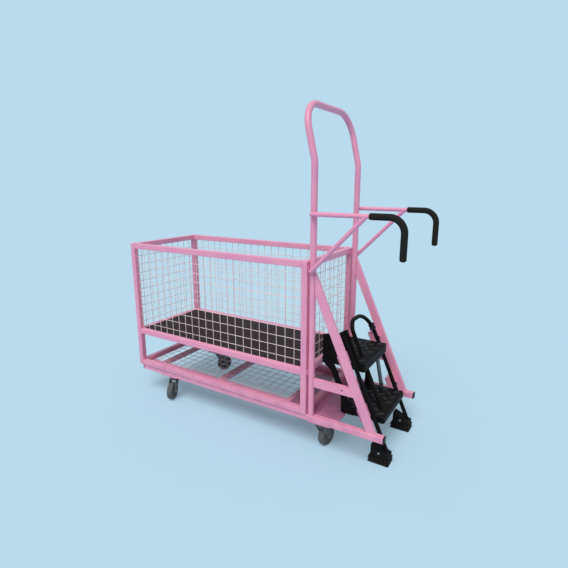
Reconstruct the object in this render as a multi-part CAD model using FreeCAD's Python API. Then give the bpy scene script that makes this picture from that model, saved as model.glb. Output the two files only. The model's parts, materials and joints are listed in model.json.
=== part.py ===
import FreeCAD, Part
import math
import os

# Order picking trolley: a mesh cage on swivel casters with a push hoop, side handles and a sliding step.
# Millimetres. X runs from the front of the cage to the step, Y to the right-hand side, Z up from the floor.
V = FreeCAD.Vector

# Cage
CAGE_LENGTH = 1165.0
CAGE_WIDTH = 524.0
CAGE_HEIGHT = 748.0
CAGE_TUBE = 30.0
TUBE_WALL = 2.0
ROUND_SIDES = 16  # facets round a bent tube, a collar and a hub
BASKET_RISE = 201.0  # cage foot to the underside of the basket's floor rails
FLOOR_BOARD = 12.0
FLOOR_SINK = 2.0  # board top below the top of its rails
BEARER_WIDTH = 30.0
BEARER_COUNT = 3

# Welded wire mesh
WIRE = 3.0
MESH_PITCH = 50.0
SIDE_MESH_FIRST = 13.5  # first upright wire behind the front post
MESH_ROW_FIRST = 38.0  # first level wire above the floor rail
END_MESH_FIRST = 32.0  # first upright wire inside the left post
DECK_MESH_FIRST = 15.0  # first deck wire along the opening and across it

# Base
BASE_RAIL = 30.0
RAIL_START = 20.0  # front end of the rails behind the front of the cage
RAIL_REACH = 387.0  # rails past the rear of the cage
SIDE_INSET = 22.0  # centre plane of rails, uprights and diagonals inside the cage's outer face
END_CAP = 4.0
CAP_PLUG = 10.0
CROSS_WIDTH = 30.0
CROSS_HEIGHT = 25.0
CROSS_FIRST = 100.0  # first cross member behind the front of the cage
CROSS_COUNT = 3
DECK_SHEET = 4.0
DECK_FLAT = 60.0
DECK_PLATE_LAP = 133.0  # rear plate under the cage
DECK_PLATE_REACH = 160.0  # rear plate past the cage

# Push hoop and uprights
HOOP_TUBE = 30.0
UPRIGHT_GAP = 4.0  # between the cage and the uprights
KINK_RISE = 219.0  # kink above the handles
HOOP_RISE = 261.0  # top of the hoop above the kink
HOOP_LEAN = 13.0
KINK_BEND = 150.0
HOOP_BEND = 120.0
PAD_SIZE = 24.0
PAD_DROP = 33.0  # upper tie pads below the top of the cage

# Side handles
HANDLE_TUBE = 20.0
HANDLE_RISE = 208.0  # handles above the top of the cage
HANDLE_START = 3.0  # front end of the handle before the upright's centre
HANDLE_REACH = 403.0  # upright's centre to the drop of the grip
HANDLE_BEND = 62.0
WELD_GAP = 0.1
GRIP_TUBE = 28.0
GRIP_LENGTH = 143.0  # start of the grip to its drop
GRIP_DROP = 170.0
GRIP_SOCKET = 60.0  # end of the handle's tube inside the grip
GRIP_NOSE = 5.0
BRACE_DROP = 251.0  # brace foot below the handle
BRACE_HEAD = 156.0  # brace top before the drop of the grip

# Step frame: the diagonals and the ladder share one slope
LEAN = 24.0
DIAGONAL_WIDTH = 40.0
DIAGONAL_DEPTH = 20.0
DIAGONAL_SETBACK = 64.0  # diagonal's foot before the end of the rail
TIE_RISE = 151.0  # tie bar above the rail
TIE_HEIGHT = 40.0
TIE_HOLE = 8.0
TIE_HOLE_SETBACK = 46.0

# Ladder
LADDER_TUBE = 20.0
LADDER_SPREAD = 331.0  # between the stringers' centres
LADDER_RISE = 166.0  # top of the hand hoop above the upper tread
HAND_HOOP = 230.0  # from the right-hand stringer to the hoop's inner leg
OUTER_BEND = 135.0
INNER_BEND = 55.0
STUB_RISE = 120.0  # top of the left-hand stringer above the upper tread
LADDER_TRAVEL = 25.0
COLLAR_TURN = 21.0  # collar's place along the outer bend, in degrees
COLLAR_LENGTH = 30.0
COLLAR_WALL = 5.0
KNOB = 16.0
KNOB_REACH = 12.0
UPPER_DEPTH = 215.0
UPPER_NOSE = 50.5  # tread in front of the stringers' centre
STEP_CLEAR = 37.0  # lower tread above the rails
STEP_GAP = 242.5  # upper tread above the lower one
LOWER_DEPTH = 216.0
LOWER_NOSE = 46.5
TREAD_SHEET = 4.0
TREAD_SKIRT = 28.0
TREAD_GAP = 0.2  # between a tread and the stringers
UPPER_LIP = 42.0
LOWER_LIP = 28.0
NOSE_WING = 3.0  # nose reaches past the tread's sides in front of the stringers
NOSE_CORNER = 14.0
LINK_SETBACK = 130.0  # link bars behind the stringers
LINK_WIDTH = 30.0
LINK_SHEET = 5.0
LINK_GAP = 0.2  # between a link bar and the treads at the bolts
GUSSET_DROP = 40.0  # taper of the link's gusset below the upper tread's skirt
HEEL_RISE = 49.0  # link's heel above the lower tread
GUARD_SHEET = 5.0
GUARD_RISES = (106.0, 126.5, 151.5)  # guard's top edge above the upper tread: rear, ear's root, ear
GUARD_EAR = 40.0
GUARD_FRONT = 24.0  # guard's front edge in front of the stringers' centre
PIN = 6.0
PIN_HEAD = 11.0
PIN_HEAD_HEIGHT = 4.0
STRUT_BODY = 20.0
STRUT_ROD = 14.0
STRUT_SHARE = 0.93  # body's share of the strut's length
STRUT_INSET = 16.0  # strut's centre inside the upper tread's side
STRUT_BLOCK = 18.0
STRUT_HEAD = 40.0  # upper block below the upper tread's top
STRUT_REACH = 99.0  # strut's foot in front of the lower tread's rear edge

# Slotted guide lugs between the diagonals and the stringers, made from closed ends of tube
LUG_LENGTH = 55.0
LUG_DEPTH = 26.0
UPPER_LUG_RISE = 17.5  # upper guide bolt above the upper tread, at rest
LOWER_LUG_RISE = 24.0  # lower guide bolt above the lower tread, at rest
GUIDE_GAP = 0.4
SLOT_GAP = 0.3
LUG_INSET = 1.2  # lug's inner end outside the tread's side

# Feet
FOOT_LENGTH = 98.0
FOOT_WIDTH = 68.0
FOOT_HEIGHT = 86.0
FOOT_TOE = 50.0  # height of the shoe's front
FOOT_FRONT = 5.0  # front of the sole before the point where the stringer meets the floor
FOOT_SOLE = 27.0
FOOT_STEP = 9.0
FOOT_GROOVE = 3.0
FOOT_SOCKET = 45.0  # stringer's end above the floor
FOOT_BOLT_HEIGHT = 52.0

# Casters
CASTER_HEIGHT = 141.0
MOUNT_PLATE = 4.0
MOUNT_LENGTH = 120.0
MOUNT_WIDTH = 90.0
TOP_PLATE_LENGTH = 100.0
TOP_PLATE_WIDTH = 68.0
TOP_PLATE = 4.0
BOLT_SPACING_X = 76.0
BOLT_SPACING_Y = 46.0
BOLT_ACROSS = 13.0
BOLT_HEAD = 5.0
CASTER_INSET = 50.0  # swivel axis inside the cage's outer face
FRONT_CASTER = 237.0
REAR_CASTER_REACH = 66.0  # rear swivel axis past the cage
WHEEL = 100.0
WHEEL_WIDTH = 32.0
HUB = 40.0
TRAIL = 35.0
AXLE = 10.0
AXLE_GAP = 0.05
AXLE_HEAD = 16.0
AXLE_HEAD_HEIGHT = 6.0
FORK_SHEET = 4.0
FORK_GAP = 3.0
FORK_EYE = 26.0
FORK_CLEAR = 12.0  # fork's crown above the wheel
SWIVEL_HEAD = 46.0
SWIVEL_GAP = 0.4
KINGPIN = 12.0
CASTER_TURNS = {"front_left": -69.0, "front_right": 69.0, "rear_left": 78.0, "rear_right": -78.0}

# Levels and planes that follow from the sizes above
RAIL_BOTTOM = CASTER_HEIGHT + MOUNT_PLATE
RAIL_TOP = RAIL_BOTTOM + BASE_RAIL
RAIL_END = CAGE_LENGTH + RAIL_REACH
CAGE_TOP = RAIL_TOP + CAGE_HEIGHT
MID_BOTTOM = RAIL_TOP + BASKET_RISE
MID_TOP = MID_BOTTOM + CAGE_TUBE
CAGE_Y = CAGE_WIDTH / 2
INNER_Y = CAGE_Y - CAGE_TUBE
SIDE_Y = CAGE_Y - SIDE_INSET
RAIL_INNER_Y = SIDE_Y - BASE_RAIL / 2
LOWER_STEP = RAIL_TOP + STEP_CLEAR
UPPER_STEP = LOWER_STEP + STEP_GAP
LADDER_TOP = UPPER_STEP + LADDER_RISE
STUB_TOP = UPPER_STEP + STUB_RISE
HANDLE_HEIGHT = CAGE_TOP + HANDLE_RISE
HOOP_KINK = HANDLE_HEIGHT + KINK_RISE
HOOP_TOP = HOOP_KINK + HOOP_RISE
TIE_BOTTOM = RAIL_TOP + TIE_RISE
REAR_CASTER = CAGE_LENGTH + REAR_CASTER_REACH
UPRIGHT_X = CAGE_LENGTH + UPRIGHT_GAP + HOOP_TUBE / 2
HANDLE_Y = SIDE_Y + HOOP_TUBE / 2 + HANDLE_TUBE / 2 + WELD_GAP
DROP_X = UPRIGHT_X + HANDLE_REACH
DIAGONAL_Y = SIDE_Y - DIAGONAL_DEPTH / 2
TAN_LEAN = math.tan(math.radians(LEAN))
COS_LEAN = math.cos(math.radians(LEAN))
SIN_LEAN = math.sin(math.radians(LEAN))
SLOPE_FOOT = RAIL_END - DIAGONAL_SETBACK + RAIL_TOP * TAN_LEAN
SLOPE_UP = V(-SIN_LEAN, 0, COS_LEAN)
SLOPE_FRONT = V(COS_LEAN, 0, SIN_LEAN)
STRINGER_Y = LADDER_SPREAD / 2
TREAD_HALF = STRINGER_Y - LADDER_TUBE / 2 - TREAD_GAP
LINK_FOOT_X = SLOPE_FOOT - LINK_SETBACK
UPPER_REAR = SLOPE_FOOT - UPPER_STEP * TAN_LEAN + UPPER_NOSE - UPPER_DEPTH
LOWER_REAR = SLOPE_FOOT - LOWER_STEP * TAN_LEAN + LOWER_NOSE - LOWER_DEPTH
LUG_HEIGHTS = (UPPER_STEP + UPPER_LUG_RISE, LOWER_STEP + LOWER_LUG_RISE)
DECK_PLATE_START = CAGE_LENGTH - DECK_PLATE_LAP
DECK_PLATE_END = CAGE_LENGTH + DECK_PLATE_REACH
DECK_BOTTOM = RAIL_TOP - DECK_SHEET
FLAT_INNER_Y = RAIL_INNER_Y - DECK_FLAT
CASTER_Y = CAGE_Y - CASTER_INSET
WHEEL_R = WHEEL / 2
FORK_INNER = WHEEL_WIDTH / 2 + FORK_GAP
FORK_OUTER = FORK_INNER + FORK_SHEET
FORK_TOP = WHEEL + FORK_CLEAR + FORK_SHEET
PLATE_BOTTOM = CASTER_HEIGHT - TOP_PLATE
OVERALL_LENGTH = DROP_X + GRIP_TUBE / 2
BIG = 4 * OVERALL_LENGTH
SIDES = (-1, 1)

NODES = {}


def keep(name, *shapes):
    NODES.setdefault(name, []).extend(shapes)


def box(x0, x1, y0, y1, z0, z1):
    low = V(min(x0, x1), min(y0, y1), min(z0, z1))
    return Part.makeBox(abs(x1 - x0), abs(y1 - y0), abs(z1 - z0), low)


def tube(x0, x1, y0, y1, z0, z1, along):
    """Rectangular tube, open along one axis."""
    lows = [min(x0, x1), min(y0, y1), min(z0, z1)]
    highs = [max(x0, x1), max(y0, y1), max(z0, z1)]
    outer = box(lows[0], highs[0], lows[1], highs[1], lows[2], highs[2])
    for axis in range(3):
        wall = -TUBE_WALL if axis == along else TUBE_WALL
        lows[axis] += wall
        highs[axis] -= wall
    return outer.cut(box(lows[0], highs[0], lows[1], highs[1], lows[2], highs[2]))


def rod(start, end, diameter):
    run = end - start
    return Part.makeCylinder(diameter / 2, run.Length, start, run)


def section(centre, along, spoke, diameter):
    """Many-sided section of a round tube; the first corner is on the spoke."""
    corners = []
    for k in range(ROUND_SIDES):
        turn = FreeCAD.Rotation(along, 360 * k / ROUND_SIDES)
        corners.append(centre + turn.multVec(spoke) * (diameter / 2))
    return Part.makePolygon(corners + corners[:1])


def bar(points, bends, diameter):
    """Tube or bar along straight runs between the points, with a tangent bend at each corner."""
    pieces = []
    last = points[0]
    along = (points[1] - last).normalize()
    spoke = along.cross(V(0, 1, 0)).normalize()
    for corner, after, bend in zip(points[1:], points[2:], bends):
        ahead = (after - corner).normalize()
        half = (along * -1).getAngle(ahead) / 2
        turn = 180 - math.degrees(2 * half)
        start = corner - along * (bend / math.tan(half))
        centre = corner + (ahead - along).normalize() * (bend / math.sin(half))
        axis = along.cross(ahead)
        pieces.append(Part.Face(section(last, along, spoke, diameter)).extrude(start - last))
        pieces.append(Part.Face(section(start, along, spoke, diameter)).revolve(centre, axis, turn))
        spoke = FreeCAD.Rotation(axis, turn).multVec(spoke)
        last = corner + ahead * (bend / math.tan(half))
        along = ahead
    pieces.append(Part.Face(section(last, along, spoke, diameter)).extrude(points[-1] - last))
    return pieces[0].fuse(pieces[1:]) if len(pieces) > 1 else pieces[0]


def hexagon(centre, axis, across, height):
    """Hexagonal prism standing on a centre point."""
    corner = across / math.sqrt(3)
    points = []
    for k in range(7):
        turn = math.radians(60 * k)
        points.append(V(corner * math.cos(turn), corner * math.sin(turn), 0))
    head = Part.Face(Part.makePolygon(points)).extrude(V(0, 0, height))
    head.Placement = FreeCAD.Placement(centre, FreeCAD.Rotation(V(0, 0, 1), axis))
    return head


def mirrored(points):
    """Points of one half followed by those of the other half, across the centre plane."""
    return points + [V(p.x, -p.y, p.z) for p in reversed(points)]


def sloped(shape):
    """Turns a shape made round the Z axis onto the slope of the ladder."""
    shape.rotate(V(), V(0, 1, 0), -LEAN)
    shape.translate(V(SLOPE_FOOT, 0, 0))
    return shape


def slope_x(z):
    """Centre of the stringers and the diagonals at a height."""
    return SLOPE_FOOT - z * TAN_LEAN


def stringer_point(z, side):
    return V(slope_x(z), side * STRINGER_Y, z)


def marks(low, high, first):
    """Places of the wires between two frame members."""
    count = int((high - low - first - WIRE) // MESH_PITCH) + 1
    return [low + first + MESH_PITCH * k for k in range(count)]


def wire(start, end):
    """Wire with flat sides between two points on one axis."""
    half = WIRE / 2
    grow = [0 if abs(b - a) > WIRE else half for a, b in zip(start, end)]
    low = start - V(*grow)
    high = end + V(*grow)
    return box(low.x, high.x, low.y, high.y, low.z, high.z)


def base_rails():
    half = BASE_RAIL / 2
    plug = half - TUBE_WALL
    middle = RAIL_BOTTOM + half
    for side, name in zip(SIDES, ("left", "right")):
        y = side * SIDE_Y
        rail = tube(RAIL_START + END_CAP, RAIL_END - END_CAP, y - half, y + half, RAIL_BOTTOM, RAIL_TOP, 0)
        keep(name + "_base_rail", rail)
        for end, inward in ((RAIL_START, 1), (RAIL_END, -1)):
            seat = end + inward * END_CAP
            plate = box(end, seat, y - half, y + half, RAIL_BOTTOM, RAIL_TOP)
            insert = box(seat, seat + inward * CAP_PLUG, y - plug, y + plug, middle - plug, middle + plug)
            keep("rail_end_caps", plate.fuse(insert))


def deck():
    low = DECK_BOTTOM - CROSS_HEIGHT
    half = CROSS_WIDTH / 2
    spacing = (DECK_PLATE_START - half - CROSS_FIRST) / (CROSS_COUNT - 1)
    for k in range(CROSS_COUNT):
        x = CROSS_FIRST + spacing * k
        member = tube(x - half, x + half, -RAIL_INNER_Y, RAIL_INNER_Y, low, DECK_BOTTOM, 1)
        keep("base_cross_members", member)
    for side in SIDES:
        outer = side * RAIL_INNER_Y
        flat = box(CAGE_TUBE, DECK_PLATE_START, outer, side * FLAT_INNER_Y, DECK_BOTTOM, RAIL_TOP)
        keep("deck_side_flats", flat)
    plate = box(DECK_PLATE_START, DECK_PLATE_END, -RAIL_INNER_Y, RAIL_INNER_Y, DECK_BOTTOM, RAIL_TOP)
    keep("rear_deck_plate", plate)
    across_z = DECK_BOTTOM + WIRE / 2
    along_z = across_z + WIRE
    for x in marks(CAGE_TUBE, DECK_PLATE_START, DECK_MESH_FIRST):
        keep("deck_mesh", wire(V(x, -FLAT_INNER_Y, across_z), V(x, FLAT_INNER_Y, across_z)))
    for y in marks(-FLAT_INNER_Y, FLAT_INNER_Y, DECK_MESH_FIRST):
        keep("deck_mesh", wire(V(CAGE_TUBE, y, along_z), V(DECK_PLATE_START, y, along_z)))


def cage():
    size = CAGE_TUBE
    rear = CAGE_LENGTH - size
    for x in (0, rear):
        for side in SIDES:
            post = tube(x, x + size, side * INNER_Y, side * CAGE_Y, RAIL_TOP, CAGE_TOP, 2)
            lid = box(x, x + size, side * INNER_Y, side * CAGE_Y, CAGE_TOP - TUBE_WALL, CAGE_TOP)
            keep("cage_posts", post.fuse(lid).removeSplitter())
    levels = {"cage_bottom_rails": RAIL_TOP, "cage_mid_rails": MID_BOTTOM}
    levels["cage_top_rails"] = CAGE_TOP - size
    for name, z in levels.items():
        for side in SIDES:
            keep(name, tube(size, rear, side * INNER_Y, side * CAGE_Y, z, z + size, 0))
        for x in (0, rear):
            keep(name, tube(x, x + size, -INNER_Y, INNER_Y, z, z + size, 1))


def basket_floor():
    rear = CAGE_LENGTH - CAGE_TUBE
    top = MID_TOP - FLOOR_SINK
    bottom = top - FLOOR_BOARD
    keep("basket_floor", box(CAGE_TUBE, rear, -INNER_Y, INNER_Y, bottom, top))
    half = BEARER_WIDTH / 2
    for k in range(BEARER_COUNT):
        x = CAGE_TUBE + (rear - CAGE_TUBE) * (k + 1) / (BEARER_COUNT + 1)
        keep("floor_bearers", tube(x - half, x + half, -INNER_Y, INNER_Y, MID_BOTTOM, bottom, 1))


def cage_mesh():
    """Upright wires on the outside and level wires inside, butted against the tubes."""
    top = CAGE_TOP - CAGE_TUBE
    rear = CAGE_LENGTH - CAGE_TUBE
    layer = WIRE / 2
    rows = marks(MID_TOP, top, MESH_ROW_FIRST)
    for side, name in zip(SIDES, ("left_side_mesh", "right_side_mesh")):
        plane = side * (CAGE_Y - CAGE_TUBE / 2)
        outer = plane + side * layer
        inner = plane - side * layer
        for x in marks(CAGE_TUBE, rear, SIDE_MESH_FIRST):
            keep(name, wire(V(x, outer, MID_TOP), V(x, outer, top)))
        for z in rows:
            keep(name, wire(V(CAGE_TUBE, inner, z), V(rear, inner, z)))
    ends = {"front_end_mesh": (CAGE_TUBE / 2, -layer)}
    ends["rear_end_mesh"] = (CAGE_LENGTH - CAGE_TUBE / 2, layer)
    for name, (plane, out) in ends.items():
        for y in marks(-INNER_Y, INNER_Y, END_MESH_FIRST):
            keep(name, wire(V(plane + out, y, MID_TOP), V(plane + out, y, top)))
        for z in rows:
            keep(name, wire(V(plane - out, -INNER_Y, z), V(plane - out, INNER_Y, z)))


def push_hoop():
    top = HOOP_TOP - HOOP_TUBE / 2
    top_x = UPRIGHT_X - (top - HOOP_KINK) * math.tan(math.radians(HOOP_LEAN))
    half = [V(UPRIGHT_X, SIDE_Y, RAIL_TOP), V(UPRIGHT_X, SIDE_Y, HOOP_KINK), V(top_x, SIDE_Y, top)]
    bends = (KINK_BEND, HOOP_BEND, HOOP_BEND, KINK_BEND)
    keep("push_hoop", bar(mirrored(half), bends, HOOP_TUBE))
    pad = PAD_SIZE / 2
    for side in SIDES:
        y = side * SIDE_Y
        for z in (MID_BOTTOM + CAGE_TUBE / 2, CAGE_TOP - PAD_DROP):
            rear = CAGE_LENGTH + UPRIGHT_GAP
            keep("cage_tie_pads", box(CAGE_LENGTH, rear, y - pad, y + pad, z - pad, z + pad))


def handles():
    end_z = HANDLE_HEIGHT - GRIP_DROP
    for side in SIDES:
        y = side * HANDLE_Y
        front = V(UPRIGHT_X - HANDLE_START, y, HANDLE_HEIGHT)
        corner = V(DROP_X, y, HANDLE_HEIGHT)
        grip_start = V(DROP_X - GRIP_LENGTH, y, HANDLE_HEIGHT)
        handle = bar([front, grip_start + V(GRIP_SOCKET, 0, 0)], [], HANDLE_TUBE)
        nose_top = V(DROP_X, y, end_z + GRIP_NOSE)
        grip = bar([grip_start, corner, nose_top], [HANDLE_BEND], GRIP_TUBE)
        rims = []
        for rim, width in ((nose_top, GRIP_TUBE), (V(DROP_X, y, end_z), GRIP_TUBE - 2 * GRIP_NOSE)):
            rims.append(section(rim, V(0, 0, -1), V(1, 0, 0), width))
        nose = Part.makeLoft(rims, True, True)
        keep("handle_tubes", handle)
        keep("handle_grips", grip.fuse(nose).cut(handle))
        foot = V(UPRIGHT_X, y, HANDLE_HEIGHT - BRACE_DROP)
        brace = rod(foot, V(DROP_X - BRACE_HEAD, y, HANDLE_HEIGHT), HANDLE_TUBE)
        keep("handle_braces", brace.cut(rod(front, corner, HANDLE_TUBE)))


def side_frames():
    """Diagonals from the rails to the uprights, each with a level tie bar."""
    half = DIAGONAL_WIDTH / 2
    deep = DIAGONAL_DEPTH / 2
    face_x = UPRIGHT_X + HOOP_TUBE / 2
    below = box(-BIG, BIG, -BIG, BIG, -BIG, RAIL_TOP)
    before = box(-BIG, face_x, -BIG, BIG, -BIG, BIG)
    beyond = sloped(box(-half, BIG, -BIG, BIG, -BIG, BIG))
    middle = TIE_BOTTOM + TIE_HEIGHT / 2
    hole_x = slope_x(middle) - half / COS_LEAN - TIE_HOLE_SETBACK
    for side, name in zip(SIDES, ("left", "right")):
        y = side * SIDE_Y
        diagonal = sloped(tube(-half, half, y - deep, y + deep, 0, BIG, 2))
        keep(name + "_diagonal", diagonal.cut(below).cut(before))
        tie = tube(face_x, SLOPE_FOOT, y - deep, y + deep, TIE_BOTTOM, TIE_BOTTOM + TIE_HEIGHT, 0)
        hole = rod(V(hole_x, y, middle), V(hole_x, y + side * DIAGONAL_DEPTH, middle), TIE_HOLE)
        keep(name + "_tie_bar", tie.cut(beyond).cut(hole))


def guide_bolt(z, side):
    """Shank through the stringer and the lug's slot, with a head in front and a nut behind."""
    centre = stringer_point(z, side)
    seat = LADDER_TUBE / 2
    back = seat + GUIDE_GAP + TUBE_WALL + GUIDE_GAP
    shank = rod(centre - SLOPE_FRONT * back, centre + SLOPE_FRONT * seat, PIN)
    head = hexagon(centre + SLOPE_FRONT * seat, SLOPE_FRONT, PIN_HEAD, PIN_HEAD_HEIGHT)
    nut = hexagon(centre - SLOPE_FRONT * back, SLOPE_FRONT * -1, PIN_HEAD, PIN_HEAD_HEIGHT)
    return shank.fuse([head, nut])


def guide_lugs():
    """Lug on each diagonal behind the stringer: a tube with a closed inner end and a slot in front."""
    face = -LADDER_TUBE / 2 - GUIDE_GAP
    back = face - LUG_DEPTH
    slot = PIN / 2 + SLOT_GAP
    wall = TUBE_WALL
    for z in LUG_HEIGHTS:
        rest = z / COS_LEAN
        low = rest - (LUG_LENGTH - LADDER_TRAVEL) / 2
        high = low + LUG_LENGTH
        inner = TREAD_HALF + LUG_INSET
        for side in SIDES:
            y = side * STRINGER_Y
            lug = box(back, face, side * inner, side * DIAGONAL_Y, low, high)
            end = side * (inner + wall)
            room = box(back + wall, face - wall, end, side * DIAGONAL_Y, low + wall, high - wall)
            lug = lug.cut(room).cut(box(face - wall, face, y - slot, y + slot, rest, rest + LADDER_TRAVEL))
            for stop in (rest, rest + LADDER_TRAVEL):
                lug = lug.cut(rod(V(face - wall, y, stop), V(face, y, stop), 2 * slot))
            keep("ladder_lugs", sloped(lug))


def cut_level(shape, y, z):
    """Cuts a sloping tube off level at its foot."""
    return shape.cut(box(-BIG, BIG, y - LADDER_TUBE, y + LADDER_TUBE, -BIG, z))


def hand_hoop():
    """Right-hand stringer bent over at its top, with an inner leg down to the lower tread."""
    top = LADDER_TOP - LADDER_TUBE / 2
    leg_y = STRINGER_Y - HAND_HOOP
    low = LOWER_STEP - LADDER_TUBE
    points = [stringer_point(0, 1), stringer_point(top, 1)]
    points += [V(slope_x(top), leg_y, top), V(slope_x(low), leg_y, low)]
    hoop = bar(points, [OUTER_BEND, INNER_BEND], LADDER_TUBE)
    return cut_level(cut_level(hoop, leg_y, LOWER_STEP), STRINGER_Y, FOOT_SOCKET)


def collar(hoop):
    """Clamp on the outer bend with a knob on each side."""
    outer = LADDER_TUBE / 2 + COLLAR_WALL
    turn = math.radians(COLLAR_TURN)
    inwards = V(0, -1, 0)
    centre = stringer_point(LADDER_TOP - LADDER_TUBE / 2, 1) + (inwards - SLOPE_UP) * OUTER_BEND
    spoke = SLOPE_UP * math.sin(turn) - inwards * math.cos(turn)
    along = SLOPE_UP * math.cos(turn) + inwards * math.sin(turn)
    middle = centre + spoke * OUTER_BEND
    end = along * (COLLAR_LENGTH / 2)
    reach = spoke * (outer + KNOB_REACH)
    knobs = rod(middle - reach, middle + reach, KNOB)
    return bar([middle - end, middle + end], [], 2 * outer).fuse(knobs).cut(hoop)


def ladder_frame():
    stub = bar([stringer_point(0, -1), stringer_point(STUB_TOP, -1)], [], LADDER_TUBE)
    hoop = hand_hoop()
    for side, stringer in zip(SIDES, (cut_level(stub, -STRINGER_Y, FOOT_SOCKET), hoop)):
        for z in LUG_HEIGHTS:
            bolt = guide_bolt(z, side)
            stringer = stringer.cut(bolt)
            keep("guide_bolts", bolt)
        keep("ladder_frame", stringer)
    keep("ladder_collars", collar(hoop))


def nose_plan(rear, front, half, z):
    """Outline of a tread's nose with rounded front corners."""
    corner = NOSE_CORNER
    cut = corner * (1 - math.sqrt(0.5))
    edges = [Part.makeLine(V(rear, half, z), V(rear, -half, z))]
    edges.append(Part.makeLine(V(rear, -half, z), V(front - corner, -half, z)))
    edges.append(Part.Arc(V(front - corner, -half, z), V(front - cut, cut - half, z),
                          V(front, corner - half, z)).toShape())
    edges.append(Part.makeLine(V(front, corner - half, z), V(front, half - corner, z)))
    edges.append(Part.Arc(V(front, half - corner, z), V(front - cut, half - cut, z),
                          V(front - corner, half, z)).toShape())
    edges.append(Part.makeLine(V(front - corner, half, z), V(rear, half, z)))
    return Part.Face(Part.Wire(edges))


def tread(step, rear, nose, drop):
    """Pressed tread, open below, with skirts that run on to a lipped nose in front of the stringers."""
    front = slope_x(step) + nose
    half = TREAD_HALF
    lip = step - drop
    split = slope_x(lip) + LADDER_TUBE / 2 / COS_LEAN + TREAD_GAP
    side = [V(rear, -half, step), V(split, -half, step), V(split, -half, lip)]
    side.append(V(rear, -half, step - TREAD_SKIRT))
    body = Part.Face(Part.makePolygon(side + side[:1])).extrude(V(0, 2 * half, 0))
    body = body.fuse(nose_plan(split, front, half + NOSE_WING, lip).extrude(V(0, 0, drop)))
    sheet = TREAD_SHEET
    hollow = box(rear + sheet, front - NOSE_CORNER, sheet - half, half - sheet, -BIG, step - sheet)
    return body.cut(hollow).removeSplitter()


def upright_sheet(points, y, thickness):
    """Upright sheet with an outline of (x, z) points, from one plane across Y."""
    corners = [V(x, y, z) for x, z in points]
    return Part.Face(Part.makePolygon(corners + corners[:1])).extrude(V(0, thickness, 0))


def link_bar(side):
    """Flat bar that ties the treads' sides together, with a gusset at its top and a heel at its foot."""
    half = LINK_WIDTH / 2 / COS_LEAN
    inner = side * (TREAD_HALF + LINK_GAP)

    def edge(z, offset):
        return LINK_FOOT_X - z * TAN_LEAN + offset, z

    top = UPPER_STEP - TREAD_SHEET
    bottom = LOWER_STEP - TREAD_SKIRT
    skirt = UPPER_STEP - TREAD_SKIRT
    heel = edge(LOWER_STEP + HEEL_RISE, -half)
    points = [edge(bottom, half), edge(top, half), (UPPER_REAR, top), (UPPER_REAR, skirt)]
    points += [edge(skirt - GUSSET_DROP, -half), heel, (heel[0], LOWER_STEP), edge(bottom, -half)]
    keep("tread_links", upright_sheet(points, inner, side * LINK_SHEET))
    for step in (LOWER_STEP, UPPER_STEP):
        x, z = edge(step - TREAD_SKIRT / 2, 0)
        seat = V(x, inner + side * LINK_SHEET, z)
        keep("link_bolts", hexagon(seat, V(0, side, 0), PIN_HEAD, PIN_HEAD_HEIGHT))


def guard():
    """Upright sheet on the left-hand side of the upper tread, with an ear at its front."""
    low, root, ear = [UPPER_STEP + rise for rise in GUARD_RISES]
    ear_x = slope_x(ear) + GUARD_FRONT
    points = [(UPPER_REAR, UPPER_STEP), (UPPER_REAR, low), (ear_x - GUARD_EAR, root), (ear_x, ear)]
    points.append((slope_x(UPPER_STEP) + GUARD_FRONT, UPPER_STEP))
    return upright_sheet(points, -TREAD_HALF, GUARD_SHEET)


def strut():
    """Telescopic strut between the treads on the right-hand side."""
    y = TREAD_HALF - STRUT_INSET
    half = STRUT_BLOCK / 2
    head = V(slope_x(UPPER_STEP), y, UPPER_STEP - STRUT_HEAD)
    floor = LOWER_STEP
    foot = V(LOWER_REAR + STRUT_REACH, y, floor + STRUT_BLOCK)
    middle = head + (foot - head) * STRUT_SHARE
    under = UPPER_STEP - TREAD_SHEET
    upper_block = box(head.x - half, head.x + half, y - half, y + half, head.z - half, under)
    lower_block = box(foot.x - half, foot.x + half, y - half, y + half, floor, foot.z + half)
    pieces = [rod(middle, foot, STRUT_ROD), upper_block, lower_block]
    return rod(head, middle, STRUT_BODY).fuse(pieces)


def step():
    upper = tread(UPPER_STEP, UPPER_REAR, UPPER_NOSE, UPPER_LIP)
    keep("upper_tread", upper.cut(NODES["ladder_frame"][1]))
    keep("lower_tread", tread(LOWER_STEP, LOWER_REAR, LOWER_NOSE, LOWER_LIP))
    keep("ladder_strut", strut())
    for side in SIDES:
        link_bar(side)
    keep("tread_links", guard())


def feet():
    """Moulded shoes with a ribbed sole and a slanting socket for the stringer's end."""
    front = SLOPE_FOOT - FOOT_FRONT
    rear = front - FOOT_LENGTH
    half = FOOT_WIDTH / 2
    inset = FOOT_STEP
    for side, name, stringer in zip(SIDES, ("left_foot", "right_foot"), NODES["ladder_frame"]):
        y = side * STRINGER_Y
        sole = box(rear, front, y - half, y + half, 0, FOOT_SOLE)
        groove = FOOT_SOLE / 3
        middle = box(rear, front, y - half, y + half, groove, 2 * groove)
        waist_y = half - FOOT_GROOVE
        front_in = front - FOOT_GROOVE
        waist = box(rear + FOOT_GROOVE, front_in, y - waist_y, y + waist_y, groove, 2 * groove)
        sole = sole.cut(middle.cut(waist))
        shoe_y = half - inset
        heel = rear + inset
        wedge = [(heel, FOOT_SOLE), (heel, FOOT_HEIGHT), (front_in, FOOT_TOE), (front_in, FOOT_SOLE)]
        shoe = upright_sheet(wedge, y - shoe_y, 2 * shoe_y)
        keep(name, sole.fuse(shoe).cut(stringer).removeSplitter())
        seat = V((rear + front) / 2, y + side * shoe_y, FOOT_BOLT_HEIGHT)
        keep("foot_bolts", hexagon(seat, V(0, side, 0), PIN_HEAD, PIN_HEAD_HEIGHT))


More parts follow.
